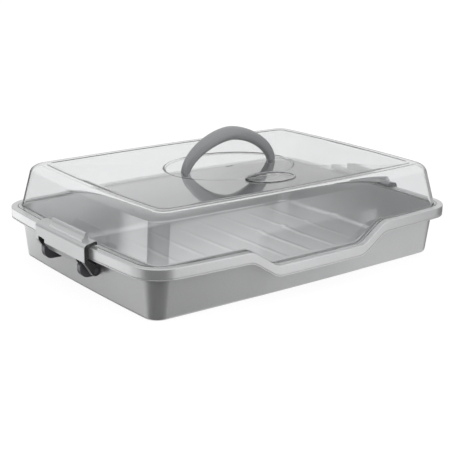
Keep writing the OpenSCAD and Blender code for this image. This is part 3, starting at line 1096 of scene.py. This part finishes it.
@dataclass(frozen=True)
class Lid:
    """The clear lid with its flange, oval recess and blank badge, in millimetres."""

    tray: Tray = field(default_factory=Tray)
    wall: float = 2.0
    gap: float = 0.45
    flange_bottom: float = 59.6
    flange_top: float = 61.4
    top: float = 110.4
    panel: float = 109.6
    sag: float = 2.2
    recess: float = 106.2
    foot: Section = Section(210.0, 150.5, 4.6, 4.6, 17.5)
    draft_end: float = math.radians(10.5)
    draft_side: float = math.radians(12.0)
    edge_radius: float = 12.0
    border: float = 6.5
    step_run: float = 1.2
    fade: float = 14.0
    settled: float = 20.0
    corner_share: float = 0.45
    sag_ease: float = 0.27
    sag_steps: int = 14
    oval: tuple[float, float] = (164.0, 131.0)
    oval_y: float = 2.6
    oval_wall: float = 3.0
    oval_edge: float = 0.7
    oval_step: tuple[float, float] = (0.1, -2.2)
    oval_steps: int = 6
    oval_shares: tuple[float, ...] = (0.85, 0.7, 0.55, 0.4, 0.2, 0.02)
    front_power: float = 1.5
    front_gain: float = 1.15
    badge: tuple[float, float] = (64.0, 46.0)
    badge_y: float = -72.9
    badge_top: float = 109.2
    badge_dish: float = 1.0
    badge_root: float = 0.6
    badge_tip: tuple[float, float] = (2.0, 1.4)
    badge_points: int = 96
    gate: Triple = (9.0, 1.6, 0.8)
    slot: Triple = (4.7, 5.5, 6.0)
    slot_x: float = 63.5
    slot_sunk: float = 1.0

    def wall_at(self, z: float, inwards: float) -> Section:
        """Outline of the lid's wall.

        Args:
            z: The height.
            inwards: How far inside the outer face it lies.

        Returns:
            The level outline at that height.
        """
        rise, foot = z - self.flange_top, self.foot
        return replace(
            foot,
            half_x=foot.half_x - rise * math.tan(self.draft_end) - inwards,
            half_y=foot.half_y - rise * math.tan(self.draft_side) - inwards,
            corner=foot.corner - inwards / 2,
            z=z,
        )

    def over_edge(self, inwards: float, turn: float, step: float = 0.0) -> Section:
        """Outline on the rounded edge between the wall and the level top, or behind it.

        Args:
            inwards: How far inside the outer face it lies.
            turn: How far over the edge it lies: 0 at the wall and 1 at the level top.
            step: How far behind that it lies.

        Returns:
            The level outline.
        """
        radius = self.edge_radius - inwards
        lean = (self.draft_end + self.draft_side) / 2
        start = self.wall_at(self.top - inwards - radius * (1 - math.sin(lean)), inwards)
        a = lean + (math.pi / 2 - lean) * turn
        back = radius * (math.cos(lean) - math.cos(a))
        return replace(
            start,
            half_x=start.half_x - back - step,
            half_y=start.half_y - back - step,
            corner=start.corner - (back + step / 2) * self.corner_share,
            z=start.z + radius * (math.sin(a) - math.sin(lean)),
        )

    def edge_round(self, inwards: float, steps: int = 10) -> list[Section]:
        """The rounded edge from the wall up to the level top."""
        return [self.over_edge(inwards, k / steps) for k in range(steps + 1)]

    def rings(self) -> list[Ring]:
        """All rings of the lid.

        Returns:
            Rings from the middle of its underside to the middle of its top.
        """
        dip = self.tray.dip
        flange = self.tray.rim.inset(self.tray.border + self.gap)
        shoulder = self.flange_top + self.fade
        behind = self.border + self.step_run
        under_panel = self.over_edge(self.wall, 1, behind).at(self.panel - self.wall)
        over_panel = self.over_edge(0, 1, behind).at(self.panel)
        before = self.over_edge(self.wall, 1, self.border - self.step_run).at(self.top - self.wall)
        # Each section with the length cut off at its corner
        path: list[tuple[Section, float]] = [(under_panel, 0), (before, 0.5)]
        path += [(section, 0) for section in reversed(self.edge_round(self.wall))]
        path += [
            (self.wall_at(shoulder + self.settled, self.wall), 0),
            (self.wall_at(shoulder, self.wall), 3.0),
            (self.wall_at(self.flange_bottom, self.wall).at(self.flange_bottom, 1), 0.8),
            (flange.at(self.flange_bottom, 1), 0.3),
            (flange.at(self.flange_top, 1), 0.5),
            (self.foot.at(self.flange_top, 1), 1.2),
            (self.wall_at(shoulder, 0), 3.0),
            (self.wall_at(shoulder + self.settled, 0), 0),
        ]
        path += [(section, 0) for section in self.edge_round(0)]
        path += [(self.over_edge(0, 1, self.border).at(self.top), 0.6), (over_panel, 0)]
        middle = [section.ring(dip) for section in soften(path, steps=3)]
        start = self.panel_rings(under_panel.ring(dip), self.oval_wall, self.wall)
        end = self.panel_rings(over_panel.ring(dip), 0.0, 0.0)
        return start[::-1] + middle + end

    def panel_rings(self, edge: Ring, wider: float, lower: float) -> list[Ring]:
        """Rings of the sagging panel from its edge over the oval step to the middle.

        The recess runs out to the panel's level at its front.

        Args:
            edge: The ring along the panel's edge.
            wider: How much longer and wider the oval is on this side.
            lower: How far this side lies below the top side.

        Returns:
            Rings from outside to inside, without the first.
        """
        length, width = self.oval[0] + wider, self.oval[1] + wider
        level, low = self.panel - self.sag - lower, self.recess - lower
        edge_width = 2 * self.oval_edge
        outer = oval_ring(edge, length + edge_width, width + edge_width, level, self.oval_y)
        flat_edge = [Vector((p.x, p.y, (self.panel - lower) * MM)) for p in edge]
        panel = []
        for k in range(1, self.sag_steps + 1):
            t = k / self.sag_steps
            sunk = Vector((0, 0, self.sag * t * (1 + self.sag_ease * (1 - t)) * MM))
            panel.append([a.lerp(Vector((b.x, b.y, a.z)), t) - sunk for a, b in zip(flat_edge, outer)])
        recess = []
        for k in range(self.oval_steps + 1):
            t = k / self.oval_steps
            out = 2 * (self.oval_step[0] + (self.oval_step[1] - self.oval_step[0]) * t)
            z = low + (level - low) * (1 + math.cos(math.pi * t)) / 2
            recess.append(oval_ring(edge, length + out, width + out, z, self.oval_y))
        for share in self.oval_shares:
            recess.append(oval_ring(edge, length * share, width * share, low, self.oval_y))
        for point in (point for ring in recess for point in ring):
            ahead = max(0.0, (self.oval_y - point.y / MM) / (width / 2))
            rise = min(1.0, self.front_gain * ahead**self.front_power)
            point.z += (level * MM - point.z) * rise
        return panel + recess

    def badge_tool(self, name: str, steps: Sequence[tuple[float, float]]) -> Piece:
        """A round-edged oval at the badge's place, to be joined to the lid or cut out of it.

        Args:
            name: The tool's name.
            steps: Distance in from the badge's edge and height, from the bottom upwards.

        Returns:
            The tool.
        """
        bearings = ((k + 0.5) * math.tau / self.badge_points for k in range(self.badge_points))
        round_ring = [Vector((math.cos(a), math.sin(a), 0)) for a in bearings]
        length, width = self.badge
        rings = [oval_ring(round_ring, length - 2 * i, width - 2 * i, z, self.badge_y) for i, z in steps]
        tips = [oval_ring(round_ring, *self.badge_tip, steps[k][1], self.badge_y) for k in (0, -1)]
        return walk_rings(name, [tips[0], *rings, tips[1]])

    def build_tools(self) -> list[tuple[str, Piece]]:
        """The blank badge, its shallow dish, the gate mark and the handle's slots.

        Returns:
            Boolean operations with their tools, in order.
        """
        low, top = self.recess - self.badge_root, self.badge_top
        dish = top - self.badge_dish
        block = ((0.3, low), (0.0, low + 0.3), (0.0, top - 0.6), (0.15, top - 0.2), (0.6, top))
        hollow = ((12.0, dish - 0.1), (3.2, dish), (2.8, dish + 0.2), (2.6, top - 0.3), (2.4, top + 0.5))
        made = [
            ("UNION", self.badge_tool("badge", block)),
            ("DIFFERENCE", self.badge_tool("badge_dish", hollow)),
            ("UNION", rounded_block("gate", self.gate, (0, self.oval_y, self.recess), edge=0.3)),
        ]
        for x in (-self.slot_x, self.slot_x):
            place = (x, self.oval_y, self.recess - self.slot_sunk)
            made.append(("DIFFERENCE", rounded_block("slot", self.slot, place, edge=0.3)))
        return made

    def build(self, finishes: Finishes) -> None:
        """Builds and dresses the lid.

        Args:
            finishes: The built materials.
        """
        shell = walk_rings("lid_dome", self.rings())
        for operation, tool in self.build_tools():
            apply_modifier(shell, "BOOLEAN", operation=operation, solver="EXACT", object=tool)
            bpy.data.objects.remove(tool)
        smooth(shell, 32.0)
        dress(shell, finishes.lid, Body.LID)
        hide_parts("lid_shell")


# ------------------------------------------------------------------ handle


@dataclass(frozen=True)
class Handle:
    """The arched carrying handle with the necks that stand in the lid's slots, in millimetres."""

    span: float = 127.0
    rise: float = 47.39
    crown_thick: float = 15.78
    crown_width: float = 17.8
    foot_thick: float = 8.8
    leg_width: float = 8.0
    power: float = 1.68
    foot_round: float = 0.42
    crown_round: float = 0.8
    middle_y: float = 2.6
    sole: float = 106.25
    swell: float = 1.3
    neck_width: float = 5.2
    neck_low: float = 100.3
    neck_height: float = 8.2
    neck_gap: float = 0.2

    def ring(self, degrees: float, points: int = 40) -> Ring:
        """One cross-section of the arch.

        Args:
            degrees: 0 at the right foot and 180 at the left foot.
            points: Points round the section.

        Returns:
            The ring in metres.
        """
        turn = math.radians(degrees)
        grow, tiny = 2 / self.power, 1e-4
        half, rise = self.span / 2, self.rise - self.crown_thick / 2
        c, s = math.cos(turn), max(math.sin(turn), 0.0)
        x = half * math.copysign(abs(c) ** grow, c)
        z = rise * s**grow
        dx = -half * grow * max(abs(c), tiny) ** (grow - 1) * s
        dz = rise * grow * max(s, tiny) ** (grow - 1) * c
        n = math.hypot(dx, dz)
        upright = s < 0.02
        across = (math.copysign(1, c), 0.0) if upright else (dz / n, -dx / n)
        full = s**self.swell
        thick = (self.foot_thick + (self.crown_thick - self.foot_thick) * full) / 2
        wide = (self.leg_width + (self.crown_width - self.leg_width) * full) / 2
        bend = self.foot_round + (self.crown_round - self.foot_round) * full
        made = []
        for k in range(points):
            b = math.tau * (k + 0.5) / points
            u = thick * math.copysign(abs(math.cos(b)) ** bend, math.cos(b))
            v = wide * math.copysign(abs(math.sin(b)) ** bend, math.sin(b))
            made.append(Vector((x + across[0] * u, self.middle_y + v, self.sole + z + across[1] * u)) * MM)
        return made

    def build(self, finishes: Finishes) -> None:
        """Builds and dresses the handle.

        Args:
            finishes: The built materials.
        """
        turns = [0, 1, 2, 3.5, *range(5, 176, 2), 176.5, 178, 179, 180]
        arch = walk_rings("carry_arch", [self.ring(t) for t in turns])
        neck = (self.foot_thick / 2 - self.neck_gap, self.neck_width, self.neck_height)
        neck_z = self.neck_low + self.neck_height / 2
        places = ((sign * self.span / 2, self.middle_y, neck_z) for sign in (-1, 1))
        necks = [rounded_block("neck", neck, place, edge=0.5) for place in places]
        piece = join([arch, *necks], "carry_arch")
        smooth(piece, 45.0)
        dress(piece, finishes.handle, Body.LID)
        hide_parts("carry_handle")


# ------------------------------------------------------------------ latches


@dataclass(frozen=True)
class Latch:
    """A clip latch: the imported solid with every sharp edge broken, as a mould leaves it."""

    solid: Piece
    node: str
    body: Body
    edge: float = 0.45
    sharp: float = math.radians(32)
    flat: float = math.radians(0.5)

    def build(self, finishes: Finishes) -> None:
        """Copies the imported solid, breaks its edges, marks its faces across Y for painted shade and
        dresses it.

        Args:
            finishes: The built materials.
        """
        make_active(self.solid)
        bpy.ops.object.duplicate()
        bpy.ops.object.parent_clear(type="CLEAR_KEEP_TRANSFORM")
        piece = named(f"{self.node}_clip")
        for key in [k for k in piece.keys() if k.startswith("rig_")]:
            del piece[key]
        bpy.ops.object.mode_set(mode="EDIT")
        bpy.ops.mesh.select_all(action="SELECT")
        bpy.ops.mesh.remove_doubles(threshold=2e-6)
        bpy.ops.mesh.customdata_custom_splitnormals_clear()
        bpy.ops.mesh.dissolve_limited(angle_limit=self.flat)
        bpy.ops.object.mode_set(mode="OBJECT")
        width = self.edge * MM
        apply_modifier(
            piece, "BEVEL", width=width, segments=3, limit_method="ANGLE", angle_limit=self.sharp
        )
        smooth(piece)
        # Marks the faces across Y, which the latch finish darkens as painted shade.
        mark_painted_shade_faces(piece)
        dress(piece, finishes.latch, self.body)
        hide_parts(self.node)


# ------------------------------------------------------------------ studio


@dataclass(frozen=True)
class SoftBox:
    """A soft box of the surroundings: a bearing in degrees, and a range of heights.

    Below zero the level stands for a black flag, which takes light away.
    """

    bearing: float
    half_width: float
    edge: float
    low: float
    high: float
    level: float


@dataclass(frozen=True)
class Lamp:
    """A square soft lamp that looks at the carrier: its place, its side in metres and its watts."""

    name: str
    place: Triple
    size: float
    power: float


@dataclass(frozen=True)
class Studio:
    """The pale floor, the soft lights and the camera.

    Each row of the profile holds a height and the brightness of the surroundings there.
    """

    camera_place: Triple = (-0.74121, -0.94291, 0.39299)
    camera_turn: Triple = (73.3425, -0.7912, -37.6595)
    lens: float = 83.694
    sensor: float = 36.0
    floor_size: float = 12.0
    floor_z: float = -0.0002
    floor_grey: float = 0.15
    floor_glow: float = 0.90
    floor_bounce: float = 0.6
    box_edge: float = 0.03
    darkest: float = 0.03
    white_up_to: tuple[float, float] = (0.02, 0.12)
    lamps: tuple[Lamp, ...] = (
        Lamp("key", (-0.8, -1.35, 0.45), 1.0, 9.0),
        Lamp("fill", (0.9, -1.4, 0.5), 1.0, 1.5),
    )
    profile: tuple[tuple[float, float], ...] = (
        (-1.0, 0.55),
        (-0.62, 0.82),
        (-0.50, 0.92),
        (-0.43, 0.84),
        (-0.33, 1.03),
        (-0.25, 1.12),
        (-0.18, 1.05),
        (-0.11, 0.44),
        (0.10, 0.44),
        (0.20, 0.84),
        (0.40, 0.94),
        (0.70, 0.90),
        (1.0, 1.00),
    )
    boxes: tuple[SoftBox, ...] = (
        SoftBox(135.0, 1.5, 3.5, -0.13, 0.10, 2.0),
        SoftBox(-62.0, 6.0, 15.0, -0.13, 0.10, 1.6),
        SoftBox(-145.0, 74.0, 10.0, -0.14, 0.30, -0.45),
        SoftBox(-130.0, 22.0, 40.0, -0.39, -0.17, -1.05),
        SoftBox(-126.0, 34.0, 72.0, -1.2, -0.42, -1.00),
        SoftBox(8.0, 30.0, 20.0, -0.38, -0.17, -0.95),
        SoftBox(100.0, 8.0, 9.0, -0.75, -0.37, -0.50),
        SoftBox(114.0, 12.0, 10.0, -0.75, -0.42, -0.22),
        SoftBox(133.0, 8.0, 12.0, -0.75, -0.44, -0.25),
        SoftBox(112.0, 10.0, 12.0, -0.36, -0.20, 0.65),
    )

    def build_camera(self) -> None:
        """Puts the camera at the photograph's viewing angle."""
        data = bpy.data.cameras.new("camera")
        data.lens = self.lens
        data.sensor_width = self.sensor
        camera = bpy.data.objects.new("camera", data)
        camera.location = self.camera_place
        camera.rotation_euler = Euler(tuple(math.radians(a) for a in self.camera_turn))
        bpy.context.scene.collection.objects.link(camera)
        bpy.context.scene.camera = camera

    def build_floor(self) -> None:
        """A wide pale floor that keeps a soft shadow and shows as white."""
        deselect_all()
        bpy.ops.mesh.primitive_plane_add(size=self.floor_size, location=(0, 0, self.floor_z))
        floor = named("floor")
        material, nodes, shader, output = new_material("pale_floor")
        nodes.link((self.floor_grey,) * 3, shader.inputs["Base Color"])
        nodes.link(1.0, shader.inputs["Roughness"])
        nodes.link(0.0, shader.inputs["Specular IOR Level"])
        glow = nodes.add("ShaderNodeEmission", Color=(1, 1, 1, 1), Strength=self.floor_glow)
        both = nodes.add("ShaderNodeAddShader")
        nodes.link(shader.outputs[0], both.inputs[0])
        nodes.link(glow.outputs[0], both.inputs[1])
        bounce = nodes.add("ShaderNodeBsdfDiffuse")
        nodes.link((self.floor_bounce,) * 3, bounce.inputs["Color"])
        seen = nodes.add("ShaderNodeLightPath").outputs["Is Camera Ray"]
        nodes.link(nodes.mix_shader(seen, bounce, both).outputs[0], output.inputs["Surface"])
        floor.data.materials.append(material)
        floor.visible_glossy = False
        floor.visible_transmission = False

    def build_world(self) -> None:
        """Soft surroundings whose brightness goes by height, with a dark gap and narrow soft boxes.

        Straight views, and views through the clear lid, show white. Mirrored views show the studio.
        """
        world = bpy.data.worlds.new("studio")
        world.use_nodes = True
        bpy.context.scene.world = world
        nodes = Nodes(world.node_tree)
        background = world.node_tree.nodes["Background"]
        output = world.node_tree.nodes["World Output"]
        way = nodes.add("ShaderNodeTexCoord").outputs["Generated"]
        parts = nodes.add("ShaderNodeSeparateXYZ")
        nodes.link(way, parts.inputs[0])
        x, y, z = parts.outputs

        def across(a: object, b: object) -> Socket:
            """The level part of the direction, multiplied by a along X and by b along Y."""
            return nodes.math("MULTIPLY_ADD", x, a, nodes.math("MULTIPLY", y, b))

        level_length = nodes.math("MAXIMUM", nodes.math("SQRT", across(x, y)), 0.001)

        def facing(degrees: float) -> Socket:
            """Cosine of the angle round the vertical from a bearing."""
            turn = math.radians(degrees)
            return nodes.math("DIVIDE", across(math.cos(turn), math.sin(turn)), level_length)

        profile = nodes.add("ShaderNodeValToRGB")
        stops = profile.color_ramp.elements
        lowest, *between, highest = self.profile  # a new ramp has its two stops at the ends
        for k, (height, level) in enumerate((lowest, highest, *between)):
            stop = stops[k] if k < 2 else stops.new(height / 2 + 0.5)
            stop.color = (level / 2, level / 2, level / 2, 1)
        nodes.link(nodes.math("ADD", nodes.math("MULTIPLY", z, 0.5), 0.5), profile.inputs[0])
        glow = nodes.math("MULTIPLY", profile.outputs[0], 2.0)
        for box in self.boxes:
            side = nodes.ramp(
                facing(box.bearing),
                math.cos(math.radians(box.half_width + box.edge)),
                math.cos(math.radians(box.half_width)),
                0.0,
                box.level,
            )
            above = nodes.ramp(z, box.low - self.box_edge, box.low + self.box_edge, 0.0, 1.0)
            below = nodes.ramp(z, box.high - self.box_edge, box.high + self.box_edge, 1.0, 0.0)
            inside = nodes.math("MULTIPLY", above, below)
            glow = nodes.math("MULTIPLY_ADD", side, inside, glow)
        glow = nodes.math("MAXIMUM", glow, self.darkest)
        path = nodes.add("ShaderNodeLightPath")
        straight = nodes.math("LESS_THAN", path.outputs["Glossy Depth"], 0.5)
        ahead = nodes.math("MULTIPLY", straight, nodes.ramp(z, *self.white_up_to, 1.0, 0.0))
        through = nodes.math("MULTIPLY", path.outputs["Is Transmission Ray"], ahead)
        shown = nodes.math("MAXIMUM", path.outputs["Is Camera Ray"], through)
        hidden = nodes.math("MULTIPLY", nodes.math("SUBTRACT", 1.0, shown), glow)
        nodes.link((1.0, 1.0, 1.0), background.inputs["Color"])
        nodes.link(nodes.math("ADD", shown, hidden), background.inputs["Strength"])
        nodes.link(background.outputs[0], output.inputs[0])

    def build_lamps(self) -> None:
        """A broad soft lamp in front on the left, and a weak one in front on the right."""
        for lamp in self.lamps:
            data = bpy.data.lights.new(lamp.name, "AREA")
            data.size = lamp.size
            data.energy = lamp.power
            light = bpy.data.objects.new(lamp.name, data)
            light.location = lamp.place
            light.rotation_euler = (-Vector(lamp.place)).to_track_quat("-Z", "Y").to_euler()
            light.visible_glossy = False
            light.visible_transmission = False
            bpy.context.scene.collection.objects.link(light)

    def build(self) -> None:
        """Builds the camera, floor, world and lamps."""
        self.build_camera()
        self.build_floor()
        self.build_world()
        self.build_lamps()
        bpy.context.scene.view_settings.view_transform = "Standard"
        log.info("studio: camera, floor, world and lamps")


def main() -> None:
    """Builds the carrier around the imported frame."""
    logging.basicConfig(level=logging.INFO, format="%(name)s: %(message)s")
    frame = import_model()
    finishes = build_finishes()
    latches = (("latch_left", Body.LEFT_LATCH), ("latch_right", Body.RIGHT_LATCH))
    clips = [Latch(frame["nodes"][node], node, body) for node, body in latches]
    for part in (Tray(), Lid(), Handle(), *clips):
        part.build(finishes)
    Studio().build()


if __name__ == "__main__":
    main()
